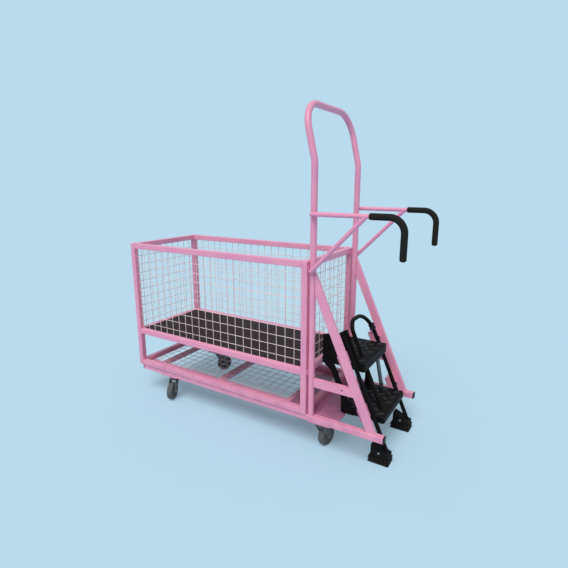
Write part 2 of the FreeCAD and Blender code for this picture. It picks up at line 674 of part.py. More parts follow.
def fork():
    """Swivel fork and axle bolt, with the wheel trailing along X from the swivel axis."""
    eye = FORK_EYE / 2
    crown = SWIVEL_HEAD / 2
    z = WHEEL_R
    outline = [V(-crown, 0, FORK_TOP), V(crown, 0, FORK_TOP), V(TRAIL + eye, 0, z)]
    outline += [V(TRAIL + eye / 2, 0, z - eye), V(TRAIL - eye / 2, 0, z - eye)]
    outline += [V(TRAIL - eye, 0, z), V(-crown, 0, FORK_TOP)]
    pieces = []
    for y in (FORK_INNER, -FORK_OUTER):
        leg = Part.Face(Part.makePolygon(outline)).extrude(V(0, FORK_SHEET, 0))
        leg.translate(V(0, y, 0))
        pieces.append(leg)
    pieces.append(box(-crown, crown, -FORK_INNER, FORK_INNER, FORK_TOP - FORK_SHEET, FORK_TOP))
    pieces.append(rod(V(0, 0, FORK_TOP), V(0, 0, CASTER_HEIGHT - SWIVEL_GAP), KINGPIN))
    pieces.append(rod(V(TRAIL, -FORK_INNER, z), V(TRAIL, FORK_INNER, z), AXLE))
    for side in SIDES:
        pieces.append(hexagon(V(TRAIL, side * FORK_OUTER, z), V(0, side, 0), AXLE_HEAD, AXLE_HEAD_HEIGHT))
    head = bar([V(0, 0, FORK_TOP), V(0, 0, PLATE_BOTTOM - SWIVEL_GAP)], [], SWIVEL_HEAD)
    return head.fuse(pieces).removeSplitter()


def hub_core():
    """Keyed core that keeps the tyre from turning on its hub."""
    rim = section(V(TRAIL, -WHEEL_WIDTH / 2, WHEEL_R), V(0, 1, 0), V(1, 0, 0), HUB)
    return Part.Face(rim).extrude(V(0, WHEEL_WIDTH, 0))


def axle_rod(diameter):
    half = V(0, WHEEL_WIDTH / 2, 0)
    centre = V(TRAIL, 0, WHEEL_R)
    return rod(centre - half, centre + half, diameter)


def wheel_hub():
    return hub_core().cut(axle_rod(AXLE + 2 * AXLE_GAP))


def tyre():
    return axle_rod(WHEEL).cut(hub_core())


def caster_plates(x, y):
    """Welded plate under the rail, the caster's own plate below it and the bolts that join them."""
    side = math.copysign(1, y)
    length = MOUNT_LENGTH / 2
    outer = side * (SIDE_Y + BASE_RAIL / 2)
    inner = outer - side * MOUNT_WIDTH
    mount = box(x - length, x + length, inner, outer, CASTER_HEIGHT, RAIL_BOTTOM)
    keep("caster_mount_plates", mount)
    length = TOP_PLATE_LENGTH / 2
    width = TOP_PLATE_WIDTH / 2
    plate = box(x - length, x + length, y - width, y + width, PLATE_BOTTOM, CASTER_HEIGHT)
    bore = rod(V(x, y, PLATE_BOTTOM), V(x, y, CASTER_HEIGHT), KINGPIN + 2 * AXLE_GAP)
    keep("caster_top_plates", plate.cut(bore))
    for dx in (-BOLT_SPACING_X / 2, BOLT_SPACING_X / 2):
        for dy in (-BOLT_SPACING_Y / 2, BOLT_SPACING_Y / 2):
            seat = V(x + dx, y + dy, PLATE_BOTTOM)
            keep("caster_bolts", hexagon(seat, V(0, 0, -1), BOLT_ACROSS, BOLT_HEAD))


def casters():
    makers = {"fork": fork, "wheel_hub": wheel_hub, "tyre": tyre}
    for place, turn in CASTER_TURNS.items():
        x = FRONT_CASTER if place.startswith("front") else REAR_CASTER
        y = -CASTER_Y if place.endswith("left") else CASTER_Y
        caster_plates(x, y)
        for name, make in makers.items():
            piece = make()
            piece.rotate(V(), V(0, 0, 1), turn)
            piece.translate(V(x, y, 0))
            keep(place + "_" + name, piece)


def main():
    for build in (base_rails, deck, cage, basket_floor, cage_mesh, push_hoop, handles, side_frames,
                  guide_lugs, ladder_frame, step, feet, casters):
        build()
    os.makedirs("parts", exist_ok=True)
    for name, shapes in NODES.items():
        node = shapes[0] if len(shapes) == 1 else Part.makeCompound(shapes)
        node.translate(V(-OVERALL_LENGTH / 2, 0, 0))
        node.exportStep("parts/" + name + ".step")


main()
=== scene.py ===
import json
import math
import random

import bmesh
import bpy
from mathutils import Matrix, Quaternion, Vector


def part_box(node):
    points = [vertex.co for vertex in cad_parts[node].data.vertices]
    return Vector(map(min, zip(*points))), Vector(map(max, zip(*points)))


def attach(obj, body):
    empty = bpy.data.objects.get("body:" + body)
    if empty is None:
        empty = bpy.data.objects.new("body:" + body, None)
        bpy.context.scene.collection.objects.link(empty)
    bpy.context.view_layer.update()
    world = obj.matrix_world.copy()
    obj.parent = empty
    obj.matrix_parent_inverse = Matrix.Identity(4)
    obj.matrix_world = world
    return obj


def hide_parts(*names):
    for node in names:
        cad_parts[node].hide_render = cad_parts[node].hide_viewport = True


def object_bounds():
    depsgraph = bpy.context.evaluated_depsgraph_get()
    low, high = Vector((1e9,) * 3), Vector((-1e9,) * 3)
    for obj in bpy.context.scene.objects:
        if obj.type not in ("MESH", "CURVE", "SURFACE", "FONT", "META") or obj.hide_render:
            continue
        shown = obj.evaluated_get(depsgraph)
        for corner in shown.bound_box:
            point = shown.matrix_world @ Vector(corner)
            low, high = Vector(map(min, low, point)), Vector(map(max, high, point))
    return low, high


# Looks of an order picking trolley, round the solids of its frame. Lengths are in metres.
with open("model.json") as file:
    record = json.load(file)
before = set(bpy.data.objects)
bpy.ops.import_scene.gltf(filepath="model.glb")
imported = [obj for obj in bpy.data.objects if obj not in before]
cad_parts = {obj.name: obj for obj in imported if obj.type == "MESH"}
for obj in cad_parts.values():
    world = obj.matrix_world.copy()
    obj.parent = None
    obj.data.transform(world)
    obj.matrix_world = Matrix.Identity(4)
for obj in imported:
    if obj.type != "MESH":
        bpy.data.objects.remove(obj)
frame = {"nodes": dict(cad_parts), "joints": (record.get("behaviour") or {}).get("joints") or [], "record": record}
CAD_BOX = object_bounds()
NODES = frame["nodes"]
JOINTS = {joint["name"]: joint for joint in frame["joints"]}
NODE_SLOT = {entry["node"]: entry["material_slot"] for entry in frame["record"]["subparts"]}
BODIES = frame["record"]["behaviour"]["bodies"]
NODE_BODY = {node: body for body, nodes in BODIES.items() for node in nodes}
SEED = 7
RNG = random.Random(SEED)

# Camera of the photograph: its place, unit vectors, and lens and sensor in millimetres
CAMERA_PLACE = Vector((1.2424, -1.8858, 1.2546))
CAMERA_RIGHT = Vector((0.8522, 0.5233, 0.0))
CAMERA_FORWARD = Vector((-0.5095, 0.8297, -0.2282))
CAMERA_LENS = 26.93
CAMERA_SENSOR = 36.0
CAMERA_REACH = 200.0

# Light and floor
WORLD_LEVEL = 0.38  # share of the light at which the floor renders as written
SUN_LEVEL = 0.62  # the other share
SUN_PATH = Vector((-0.08, 0.60, -1.0))  # the way the sun's light goes
SUN_SPREAD = math.radians(36.0)
FLOOR_GLOW = 0.28  # share of its colour that the floor shows in the shadow too
FLOOR_REACH = 60.0

# Places that the solids give
HOOP_LOW, HOOP_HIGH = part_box("push_hoop")
HOOP_RADIUS = (HOOP_HIGH.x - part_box("cage_tie_pads")[1].x) / 2
GRIP_LOW, GRIP_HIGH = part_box("handle_grips")
HANDLE_LOW, HANDLE_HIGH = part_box("handle_tubes")
LADDER_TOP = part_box("ladder_frame")[1].z
SLOPE_UP = Vector(JOINTS["ladder_lift"]["axis"]).normalized()
SLOPE_TAN = -SLOPE_UP.x / SLOPE_UP.z

# Facets of round forms
ROUND_SIDES = 32
WIRE_SIDES = 10
KNOB_SIDES = 18
WHEEL_SIDES = 64
BEND_STEPS = 16

# Rounded edges
TUBE_CORNER = 0.003
PLATE_EDGE = 0.0008
TIE_BAR_EDGE = 0.0015
TREAD_EDGE = 0.0012
FORK_EDGE = 0.0009
LADDER_EDGES = {
    "tread_links": 0.0008,
    "ladder_strut": 0.0012,
    "guide_bolts": 0.0006,
    "left_foot": 0.0022,
    "right_foot": 0.0022,
    "ladder_lugs": 0.0008,
}

# Weld beads, straight ones and rings
BEAD = 0.0020  # radius
BEAD_SIDES = 6
BEAD_STEP = 0.003  # length of a ripple
BEAD_LEAST = 0.75  # least share of the radius in a ripple
BEAD_MOST = 1.1  # greatest share
BEAD_END = 0.4  # share at both ends
RING_STEPS = 28
RING_LEAST = 0.8
WELD_BACK = 0.003  # from the end of a bar back to its bead on a round upright

# Tolerances
SAME_POINT = 1e-6  # corners this close become one
TOUCH = 1e-5  # corners this close to a plane lie on it

# Push hoop and side handles
HOOP_LEAN = math.radians(13.0)
HOOP_BEND = 0.12
KINK_BEND = 0.15
GRIP_BEND = 0.062
GRIP_LIP = 0.004  # length of the tapered lip at the grip's start
GRIP_LIP_DEPTH = 0.003
GRIP_NOSE = 0.010  # rounding of the grip's end
GRIP_NOSE_STEPS = 6
BRACE_DROP = 0.251  # brace foot below the handle
BRACE_HEAD = 0.156  # brace top before the drop of the grip

# Ladder tubes and the clamp on the hand hoop
STRINGER_FOOT = 0.7654  # where the stringers' line meets the floor
STRINGER_Y = 0.1655
STRINGER_RADIUS = 0.010
FOOT_SOCKET = 0.045  # stringers' ends above the floor
STUB_TOP = 0.5745
STUB_DOME = 0.005  # rounding of the left-hand stringer's top
STUB_DOME_STEPS = 5
HAND_HOOP = 0.230  # from the right-hand stringer to the hoop's inner leg
OUTER_BEND = 0.135
INNER_BEND = 0.055
COLLAR_TURN = math.radians(21.0)
# Place along the tube and wall outside it
COLLAR_PROFILE = (
    (-0.015, 0.0035), (-0.0135, 0.005), (-0.004, 0.005), (-0.003, 0.004),
    (0.003, 0.004), (0.004, 0.005), (0.0135, 0.005), (0.015, 0.0035),
)
# Distance from the tube's centre and radius
KNOB_PROFILE = ((0.010, 0.0050), (0.016, 0.0050), (0.017, 0.0080), (0.025, 0.0080), (0.027, 0.0065))

# Pads of the chequered treads
PAD_PITCH = 0.062
PAD_LENGTH = 0.040
PAD_WIDTH = 0.017
PAD_RISE = 0.0020
PAD_SINK = 0.0005
PAD_MARGIN = 0.020
PAD_ROWS = 6  # tried on each side of the middle
PAD_COLUMNS = 4
PAD_SIDES = 20
PAD_LEG_GAP = 0.032  # least distance from the hoop's inner leg to the middle of a pad
NOSE_WING = 0.003  # nose past the sides of the tread
# Share of the pad's size and level of each ring
PAD_RINGS = ((1.0, -PAD_SINK), (0.97, 0.35 * PAD_RISE), (0.86, 0.8 * PAD_RISE), (0.6, PAD_RISE))

# Half outlines of the wheels: place along the axle and radius
TYRE_HALF = (
    (0.0, 0.0500), (0.0052, 0.0499), (0.0056, 0.0491), (0.0064, 0.0491), (0.0068, 0.0498),
    (0.0105, 0.0490), (0.0138, 0.0472), (0.0156, 0.0440), (0.0160, 0.0400), (0.0158, 0.0330),
    (0.0148, 0.0290), (0.0146, 0.0240), (0.0150, 0.0215), (0.0150, 0.0196),
)
HUB_HALF = (
    (0.0156, 0.0200), (0.0160, 0.0192), (0.0160, 0.0178), (0.0150, 0.0168), (0.0118, 0.0160),
    (0.0112, 0.0150), (0.0112, 0.0108), (0.0120, 0.0100), (0.0150, 0.0094), (0.0160, 0.0086),
    (0.0160, 0.00508),
)


def linear(red, green, blue):
    """Linear colour of a screen colour given in 0 to 255."""
    out = []
    for value in (red, green, blue):
        share = value / 255
        out.append(share / 12.92 if share <= 0.04045 else ((share + 0.055) / 1.055) ** 2.4)
    return (*out, 1.0)


PINK = linear(241, 160, 186)
PINK_DEEP = linear(233, 149, 184)
PINK_CHIP = linear(168, 104, 128)
# Darker pinks of the rear deck plate: painted shade
PLATE_SHADE_PINK = linear(196, 122, 156)
PLATE_SHADE_DEEP = linear(158, 96, 128)
WIRE_PALE = linear(246, 222, 220)
WIRE_DULL = linear(230, 202, 202)
BLACK = linear(22, 20, 20)
BLACK_SOFT = linear(34, 31, 30)
# Tread pads lighter than the tread's black: painted highlight, with some wear
PAD_HIGHLIT_BLACK = linear(40, 39, 37)
PAD_HIGHLIT_WEAR = linear(60, 58, 55)
FOOT_BLACK = linear(26, 24, 22)
FOOT_DUST = linear(44, 42, 39)
GREY_DUST = linear(92, 90, 90)
BOARD = linear(44, 33, 33)
BOARD_LIGHT = linear(60, 47, 47)
STEEL = linear(178, 180, 184)
STEEL_DULL = linear(128, 130, 134)
TYRE = linear(96, 95, 94)
TYRE_DUST = linear(118, 116, 113)
HUB_GREY = linear(112, 113, 116)
FORK_GREY = linear(128, 127, 126)
FORK_DULL = linear(94, 93, 92)
STRUT_GREY = linear(104, 110, 114)
BACKGROUND = linear(186, 219, 237)

# Floor dirt on paint: levels where it is full and where it ends, and its share of the colour
DIRT_FULL = 0.12
DIRT_END = 0.30
DIRT_SHARE = 0.35
SCUFF_SHARE = 0.35  # share of the scuffs in the board's colour


# Materials

class Surface:
    """A node material that is built one step at a time."""

    def __init__(self, name):
        self.material = bpy.data.materials.new(name)
        self.material.use_nodes = True
        self.tree = self.material.node_tree
        self.shader = self.tree.nodes["Principled BSDF"]
        self.place = self.add("ShaderNodeTexCoord").outputs["Object"]

    def add(self, kind, **settings):
        node = self.tree.nodes.new(kind)
        for key, value in settings.items():
            setattr(node, key, value)
        return node

    def link(self, start, end):
        self.tree.links.new(start, end)

    def set(self, socket, value):
        """Sets a value that is the same all over."""
        self.shader.inputs[socket].default_value = value

    def noise(self, scale, detail, roughness=0.55, stretch=None):
        node = self.add("ShaderNodeTexNoise")
        node.inputs["Scale"].default_value = scale
        node.inputs["Detail"].default_value = detail
        node.inputs["Roughness"].default_value = roughness
        source = self.place
        if stretch:
            mapping = self.add("ShaderNodeMapping")
            mapping.inputs["Scale"].default_value = stretch
            self.link(source, mapping.inputs["Vector"])
            source = mapping.outputs["Vector"]
        self.link(source, node.inputs["Vector"])
        return node.outputs["Fac"]

    def ramp(self, factor, low, high, start=(0, 0, 0, 1), end=(1, 1, 1, 1)):
        node = self.add("ShaderNodeValToRGB")
        node.color_ramp.elements[0].position = low
        node.color_ramp.elements[0].color = start
        node.color_ramp.elements[1].position = high
        node.color_ramp.elements[1].color = end
        self.link(factor, node.inputs["Fac"])
        return node.outputs["Color"]

    def mix(self, factor, first, second):
        node = self.add("ShaderNodeMix", data_type="RGBA")
        self.link(factor, node.inputs["Factor"])
        for value, socket in ((first, node.inputs["A"]), (second, node.inputs["B"])):
            if isinstance(value, tuple):
                socket.default_value = value
            else:
                self.link(value, socket)
        return node.outputs["Result"]

    def height(self, low, high):
        """White below the low level, black above the high one."""
        split = self.add("ShaderNodeSeparateXYZ")
        self.link(self.place, split.inputs["Vector"])
        node = self.add("ShaderNodeMapRange", clamp=True)
        node.inputs["From Min"].default_value = high
        node.inputs["From Max"].default_value = low
        self.link(split.outputs["Z"], node.inputs["Value"])
        return node.outputs["Result"]

    def multiply(self, first, second):
        node = self.add("ShaderNodeMath", operation="MULTIPLY")
        for value, socket in ((first, node.inputs[0]), (second, node.inputs[1])):
            if isinstance(value, float):
                socket.default_value = value
            else:
                self.link(value, socket)
        return node.outputs["Value"]

    def colour(self, socket):
        self.link(socket, self.shader.inputs["Base Color"])

    def rough(self, factor, low, high):
        node = self.add("ShaderNodeMapRange")
        node.inputs["To Min"].default_value = low
        node.inputs["To Max"].default_value = high
        self.link(factor, node.inputs["Value"])
        self.link(node.outputs["Result"], self.shader.inputs["Roughness"])

    def bump(self, factor, strength, depth):
        node = self.add("ShaderNodeBump")
        node.inputs["Strength"].default_value = strength
        node.inputs["Distance"].default_value = depth
        self.link(factor, node.inputs["Height"])
        self.link(node.outputs["Normal"], self.shader.inputs["Normal"])


def paint(name, base, deep):
    """Brushed-on gloss paint, a little uneven, with small chips and floor dirt low down."""
    surface = Surface(name)
    cloud = surface.noise(scale=9.0, detail=5.0)
    tone = surface.ramp(cloud, low=0.35, high=0.7, start=deep, end=base)
    flecks = surface.ramp(surface.noise(scale=70.0, detail=6.0, roughness=0.7), low=0.70, high=0.74)
    patches = surface.ramp(surface.noise(scale=11.0, detail=3.0), low=0.50, high=0.64)
    worn = surface.mix(surface.multiply(flecks, patches), tone, PINK_CHIP)
    blotches = surface.ramp(surface.noise(scale=24.0, detail=6.0), low=0.42, high=0.75)
    dirt = surface.multiply(surface.height(DIRT_FULL, DIRT_END), blotches)
    surface.colour(surface.mix(surface.multiply(dirt, DIRT_SHARE), worn, GREY_DUST))
    surface.rough(cloud, low=0.30, high=0.46)
    surface.bump(surface.noise(scale=260.0, detail=3.0), strength=0.12, depth=0.0006)
    surface.set("Specular IOR Level", 0.35)
    surface.set("Coat Weight", 0.10)
    surface.set("Coat Roughness", 0.15)
    return surface.material


def moulded(name, base, dust, roughness, grain, strength, shine=0.2):
    """Rubber, foam, plastic or thick black paint with a fine grain and a little dust."""
    surface = Surface(name)
    cloud = surface.noise(scale=14.0, detail=6.0)
    surface.colour(surface.mix(surface.ramp(cloud, low=0.55, high=0.85), base, dust))
    surface.rough(surface.noise(scale=60.0, detail=3.0), low=roughness - 0.08, high=roughness + 0.08)
    surface.bump(surface.noise(scale=grain, detail=4.0, roughness=0.6), strength=strength, depth=0.0006)
    surface.set("Specular IOR Level", shine)
    return surface.material


def metal(name, base, dull, roughness, metallic=0.85):
    """Bare, plated or dulled steel with soft blotches."""
    surface = Surface(name)
    cloud = surface.noise(scale=48.0, detail=5.0)
    surface.colour(surface.ramp(cloud, low=0.3, high=0.75, start=dull, end=base))
    surface.rough(cloud, low=roughness - 0.08, high=roughness + 0.12)
    surface.bump(surface.noise(scale=420.0, detail=2.0), strength=0.06, depth=0.0004)
    surface.set("Metallic", metallic)
    return surface.material


def film_board(name):
    """Dark film-faced board with long scuffs from goods."""
    surface = Surface(name)
    grain = surface.noise(scale=5.0, detail=8.0, roughness=0.62, stretch=(0.35, 6.0, 1.0))
    marks = surface.noise(scale=16.0, detail=8.0, roughness=0.7, stretch=(0.25, 3.0, 1.0))
    scuffs = surface.ramp(marks, low=0.56, high=0.74)
    tone = surface.ramp(grain, low=0.3, high=0.8, start=BOARD, end=BOARD_LIGHT)
    surface.colour(surface.mix(surface.multiply(scuffs, SCUFF_SHARE), tone, GREY_DUST))
    surface.rough(grain, low=0.55, high=0.75)
    surface.bump(surface.noise(scale=330.0, detail=3.0), strength=0.2, depth=0.0005)
    surface.set("Specular IOR Level", 0.1)
    return surface.material


SLOT_LOOKS = {
    "pink_paint": paint("pink_paint", PINK, PINK_DEEP),
    "wire_paint": paint("wire_paint", WIRE_PALE, WIRE_DULL),
    "floor_board": film_board("floor_board"),
    "zinc_steel": metal("zinc_steel", STEEL, STEEL_DULL, roughness=0.36),
    "caster_steel": metal("caster_steel", FORK_GREY, FORK_DULL, roughness=0.5, metallic=0.3),
    "wheel_tread": moulded("tyre_rubber", TYRE, TYRE_DUST, roughness=0.68, grain=380.0, strength=0.3),
    "wheel_hub": moulded("hub_plastic", HUB_GREY, TYRE_DUST, roughness=0.5, grain=300.0, strength=0.15),
    "black_plastic": moulded("black_plastic", BLACK, BLACK_SOFT, roughness=0.5, grain=420.0, strength=0.2),
    "grip_rubber": moulded("grip_foam", BLACK_SOFT, FOOT_DUST, roughness=0.72, grain=900.0, strength=0.45,
                           shine=0.1),
    "foot_rubber": moulded("foot_rubber", FOOT_BLACK, FOOT_DUST, roughness=0.7, grain=500.0, strength=0.3,
                           shine=0.1),
    "black_paint": moulded("black_paint", BLACK, BLACK_SOFT, roughness=0.5, grain=240.0, strength=0.12,
                           shine=0.05),
    "strut_steel": metal("strut_steel", STRUT_GREY, STEEL_DULL, roughness=0.42),
}
# Paint of the rear deck plate, darker by painted shade
PLATE_PAINTED_SHADE = paint("pink_paint_painted_shade", PLATE_SHADE_PINK, PLATE_SHADE_DEEP)
# Paint of the tread pads: painted highlight and wear
PAD_WEAR_AND_HIGHLIGHT = moulded("pad_wear_and_highlight_paint", PAD_HIGHLIT_BLACK, PAD_HIGHLIT_WEAR, roughness=0.45, grain=240.0, strength=0.12,
                     shine=0.15)


# Mesh helpers

def piece(name, work, node=None, body=None, slot=None, sharp=40.0, look=None):
    """Turns a bmesh into an object that rides on a body and stands for a node, where one is named."""
    mesh = bpy.data.meshes.new(name)
    bmesh.ops.recalc_face_normals(work, faces=work.faces)
    work.to_mesh(mesh)
    work.free()
    for face in mesh.polygons:
        face.use_smooth = True
    mesh.set_sharp_from_angle(angle=math.radians(sharp))
    thing = bpy.data.objects.new(name, mesh)
    bpy.context.scene.collection.objects.link(thing)
    flats = thing.modifiers.new("flats", "WEIGHTED_NORMAL")
    flats.keep_sharp = True
    slot = slot or NODE_SLOT[node]
    mesh.materials.append(look or SLOT_LOOKS[slot])
    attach(thing, body or NODE_BODY[node])
    if node:
        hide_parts(node)


def solids(node):
    """Corner points of each separate solid in a node."""
    work = bmesh.new()
    work.from_mesh(NODES[node].data)
    bmesh.ops.remove_doubles(work, verts=work.verts, dist=SAME_POINT)
    left = dict.fromkeys(work.faces)
    groups = []
    while left:
        stack = [left.popitem()[0]]
        group = []
        while stack:
            face = stack.pop()
            group.extend(vert.co.copy() for vert in face.verts)
            for edge in face.edges:
                if len(edge.link_faces) != 2:
                    continue
                for other in edge.link_faces:
                    if other in left:
                        del left[other]
                        stack.append(other)
        groups.append(group)
    work.free()
    return groups


def extent(points):
    """Lowest and highest corner of the points."""
    low = Vector([min(p[k] for p in points) for k in range(3)])
    high = Vector([max(p[k] for p in points) for k in range(3)])
    return low, high


def long_axis(low, high):
    """Axis along which a bar runs, as 0, 1 or 2."""
    size = high - low
    return max(range(3), key=lambda k: size[k])


def merge(work, part):
    """Moves one bmesh into another."""
    mesh = bpy.data.meshes.new("merge")
    part.to_mesh(mesh)
    part.free()
    work.from_mesh(mesh)
    bpy.data.meshes.remove(mesh)


def rounded_hull(work, points, edge):
    """Adds the flat-sided solid round the points, with rounded edges."""
    part = bmesh.new()
    for point in points:
        part.verts.new(point)
    bmesh.ops.convex_hull(part, input=part.verts)
    loose = [v for v in part.verts if not v.link_faces]
    bmesh.ops.delete(part, geom=loose, context="VERTS")
    bmesh.ops.dissolve_limit(part, angle_limit=math.radians(1.5), verts=part.verts, edges=part.edges)
    bmesh.ops.bevel(part, geom=part.edges, offset=edge, segments=3, profile=0.5, affect="EDGES",
                    clamp_overlap=True)
    merge(work, part)


def flat_sided(node, edge, look=None):
    """Stands for a node of tubes, plates or blocks, with the rounded edges of the real ones."""
    work = bmesh.new()
    for points in solids(node):
        rounded_hull(work, points, edge)
    piece(node + "_look", work, node, look=look)


def dressed(node, edge, angle=30.0):
    """Copy of a node's solid with its edges rounded."""
    work = bmesh.new()
    work.from_mesh(NODES[node].data)
    bmesh.ops.remove_doubles(work, verts=work.verts, dist=SAME_POINT)
    bmesh.ops.dissolve_limit(work, angle_limit=math.radians(0.5), verts=work.verts, edges=work.edges)
    sharp = [e for e in work.edges if e.is_manifold and e.calc_face_angle() > math.radians(angle)]
    bmesh.ops.bevel(work, geom=sharp, offset=edge, segments=2, profile=0.5, affect="EDGES",
                    clamp_overlap=True)
    return work


def route(points, bends):
    """Points along straight runs with round bends."""
    out = [points[0]]
    for before, corner, after, bend in zip(points, points[1:], points[2:], bends):
        back = (before - corner).normalized()
        ahead = (after - corner).normalized()
        half = back.angle(ahead) / 2
        start = corner + back * (bend / math.tan(half))
        centre = corner + (back + ahead).normalized() * (bend / math.sin(half))
        axis = (start - centre).cross(corner - centre).normalized()
        turn = math.pi - 2 * half
        for k in range(BEND_STEPS + 1):
            out.append(centre + Quaternion(axis, turn * k / BEND_STEPS) @ (start - centre))
    out.append(points[-1])
    return out


def domed_end(tip, ahead, radius, dome, steps):
    """Points and radii of a tube's end that is rounded over up to its tip."""
    points = []
    radii = []
    for k in range(steps + 1):
        turn = math.pi / 2 * k / steps
        points.append(tip - ahead * (dome * (1 - math.sin(turn))))
        radii.append(radius - dome * (1 - math.cos(turn)))
    return points, radii


def ring(work, centre, across, other, sides):
    """Adds a ring of corners round a centre, from its two half axes."""
    corners = []
    for n in range(sides):
        turn = 2 * math.pi * n / sides
        corners.append(work.verts.new(centre + across * math.cos(turn) + other * math.sin(turn)))
    return corners


def skin(work, rings):
    """Joins each ring of corners to the next one."""
    for first, second in zip(rings, rings[1:]):
        for n in range(len(first)):
            m = (n + 1) % len(first)
            work.faces.new((first[n], first[m], second[m], second[n]))


def tube(work, path, radii, sides=ROUND_SIDES):
    """Adds a closed round tube along a path, with one radius or a radius for each point."""
    if isinstance(radii, float):
        radii = [radii] * len(path)
    tangent = (path[1] - path[0]).normalized()
    across = tangent.orthogonal().normalized()
    rings = []
    for k, point in enumerate(path):
        before = path[max(k - 1, 0)]
        after = path[min(k + 1, len(path) - 1)]
        ahead = (after - before).normalized()
        across = tangent.rotation_difference(ahead) @ across
        tangent = ahead
        rings.append(ring(work, point, across * radii[k], tangent.cross(across) * radii[k], sides))
    skin(work, rings)
    work.faces.new(list(reversed(rings[0])))
    work.faces.new(rings[-1])


def lathe(work, outline, centre, axis):
    """Adds a turned ring whose closed outline is given as places along the axis and radii."""
    across = axis.orthogonal().normalized()
    other = axis.cross(across)
    rings = []
    for place, radius in outline:
        rings.append(ring(work, centre + axis * place, across * radius, other * radius, WHEEL_SIDES))
    skin(work, rings + rings[:1])


# Frame of tubes and plates

def mesh_panels():
    """Round wires in place of the flat-sided ones."""
    for node in ("left_side_mesh", "right_side_mesh", "front_end_mesh", "rear_end_mesh", "deck_mesh"):
        work = bmesh.new()
        for points in solids(node):
            low, high = extent(points)
            along = long_axis(low, high)
            start = (low + high) / 2
            end = start.copy()
            start[along] = low[along]
            end[along] = high[along]
            tube(work, [start, end], min(high - low) / 2, WIRE_SIDES)
        piece(node + "_look", work, node)


def push_hoop():
    """Hoop of round tube that leans towards the basket above a kink in its legs."""
    leg_x = HOOP_HIGH.x - HOOP_RADIUS
    leg_y = HOOP_HIGH.y - HOOP_RADIUS
    top = HOOP_HIGH.z - HOOP_RADIUS
    top_x = HOOP_LOW.x + HOOP_RADIUS
    kink = top - (leg_x - top_x) / math.tan(HOOP_LEAN)
    half = [Vector((leg_x, leg_y, HOOP_LOW.z)), Vector((leg_x, leg_y, kink)), Vector((top_x, leg_y, top))]
    other = [Vector((p.x, -p.y, p.z)) for p in reversed(half)]
    work = bmesh.new()
    tube(work, route(half + other, (KINK_BEND, HOOP_BEND, HOOP_BEND, KINK_BEND)), HOOP_RADIUS)
    piece("push_hoop_look", work, "push_hoop")


def handles():
    """Side handles, their soft grips and the braces below them."""
    tubes = bmesh.new()
    grips = bmesh.new()
    braces = bmesh.new()
    radius = (HANDLE_HIGH.z - HANDLE_LOW.z) / 2
    grip_radius = GRIP_HIGH.z - HANDLE_HIGH.z + radius
    level = HANDLE_HIGH.z - radius
    drop = GRIP_HIGH.x - grip_radius
    down = Vector((0, 0, -1))
    for side in (-1, 1):
        y = side * (HANDLE_HIGH.y - radius)
        tube(tubes, [Vector((HANDLE_LOW.x, y, level)), Vector((HANDLE_HIGH.x, y, level))], radius)
        start = Vector((GRIP_LOW.x, y, level))
        tip = Vector((drop, y, GRIP_LOW.z))
        bent = route([start, Vector((drop, y, level)), tip], [GRIP_BEND])
        path = [start, start + Vector((GRIP_LIP, 0, 0))] + bent[1:-1]
        radii = [grip_radius - GRIP_LIP_DEPTH] + [grip_radius] * (len(path) - 1)
        nose, nose_radii = domed_end(tip, down, grip_radius, GRIP_NOSE, GRIP_NOSE_STEPS)
        tube(grips, path + nose, radii + nose_radii)
        foot = Vector((HOOP_HIGH.x - HOOP_RADIUS, y, level - BRACE_DROP))
        tube(braces, [foot, Vector((drop - BRACE_HEAD, y, level))], radius)
    piece("handle_tubes_look", tubes, "handle_tubes")
    piece("handle_grips_look", grips, "handle_grips")
    piece("handle_braces_look", braces, "handle_braces")


def flat_pieces():
    """Square tubes, bars, plates and bolts with rounded edges."""
    tubes = ("left_base_rail", "right_base_rail", "base_cross_members", "cage_posts", "cage_top_rails",
             "cage_mid_rails", "cage_bottom_rails", "floor_bearers", "left_diagonal", "right_diagonal",
             "rail_end_caps")
    for node in tubes:
        flat_sided(node, TUBE_CORNER)
    for node in ("left_tie_bar", "right_tie_bar"):
        piece(node + "_look", dressed(node, TIE_BAR_EDGE, angle=60.0), node)
    # The rear deck plate's paint carries painted shade
    flat_sided("rear_deck_plate", PLATE_EDGE, PLATE_PAINTED_SHADE)
    plates = ("deck_side_flats", "caster_mount_plates", "caster_top_plates", "caster_bolts",
              "link_bolts", "foot_bolts", "basket_floor", "cage_tie_pads")
    for node in plates:
        flat_sided(node, PLATE_EDGE)


def bead(work, start, end):
    """Adds a weld bead with its ripples."""
    steps = max(3, int((end - start).length / BEAD_STEP))
    path = [start.lerp(end, k / steps) for k in range(steps + 1)]
    radii = [BEAD * RNG.uniform(BEAD_LEAST, BEAD_MOST) for _ in path]
    radii[0] = radii[-1] = BEAD * BEAD_END
    tube(work, path, radii, BEAD_SIDES)


def loop_bead(work, corners):
    """Adds beads from corner to corner, all the way round."""
    for first, second in zip(corners, corners[1:] + corners[:1]):
        bead(work, first, second)


def end_beads(work, points):
    """Adds beads round both ends of a tube, none of them past the front end of the solids."""
    low, high = extent(points)
    along = long_axis(low, high)
    one, two = [k for k in range(3) if k != along]
    for end in (low[along], high[along]):
        corners = []
        for first, second in ((low, low), (high, low), (high, high), (low, high)):
            corner = Vector((0, 0, 0))
            corner[along] = end
            corner[one] = first[one]
            corner[two] = second[two]
            corner.x = max(corner.x, CAD_BOX[0].x + BEAD_MOST * BEAD)
            corners.append(corner)
        loop_bead(work, corners)


